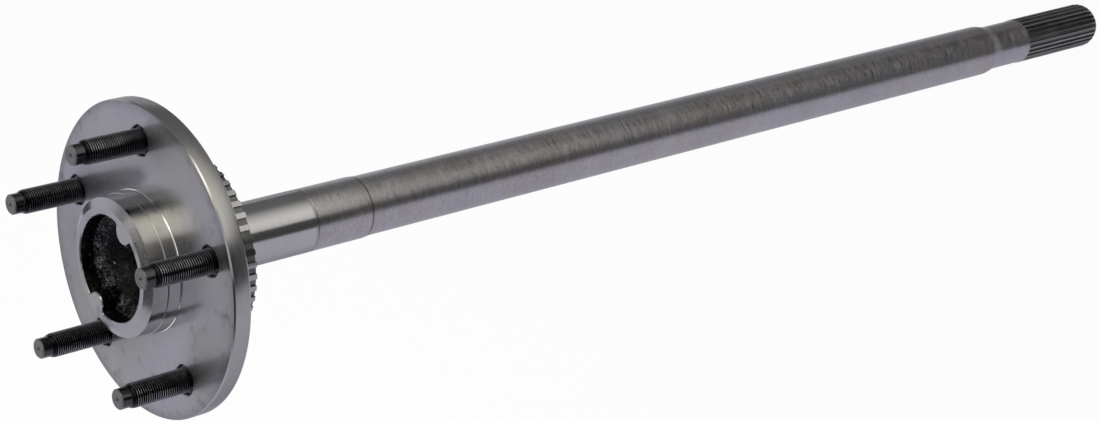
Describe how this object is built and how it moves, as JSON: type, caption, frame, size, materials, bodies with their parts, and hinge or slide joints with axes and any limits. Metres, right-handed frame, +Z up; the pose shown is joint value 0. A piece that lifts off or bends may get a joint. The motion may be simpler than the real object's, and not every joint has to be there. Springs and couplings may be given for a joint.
{
  "type": "flanged axle shaft",
  "caption": "Long steel axle shaft with a round wheel flange, stepped pilot, pressed-in wheel studs, toothed ring, ground journal and splined end.",
  "frame": {"origin": "centre of the bolt circle on the flange face that the wheel bolts to", "axes": "+Y along the shaft from the flange to the splined end, +Z up through wheel stud 1"},
  "size_m": [0.164, 0.8131, 0.1638],
  "materials": {
    "machined_steel": "turned, with a ground journal and a dark forged pocket",
    "ring_steel": "machined, satin",
    "stud_steel": "black oxide"
  },
  "bodies": {
    "root": {"axle_shaft": "machined_steel", "tone_ring": "ring_steel", "wheel_stud_1": "stud_steel", "wheel_stud_2": "stud_steel", "wheel_stud_3": "stud_steel", "wheel_stud_4": "stud_steel", "wheel_stud_5": "stud_steel"}
  },
  "joints": []
}
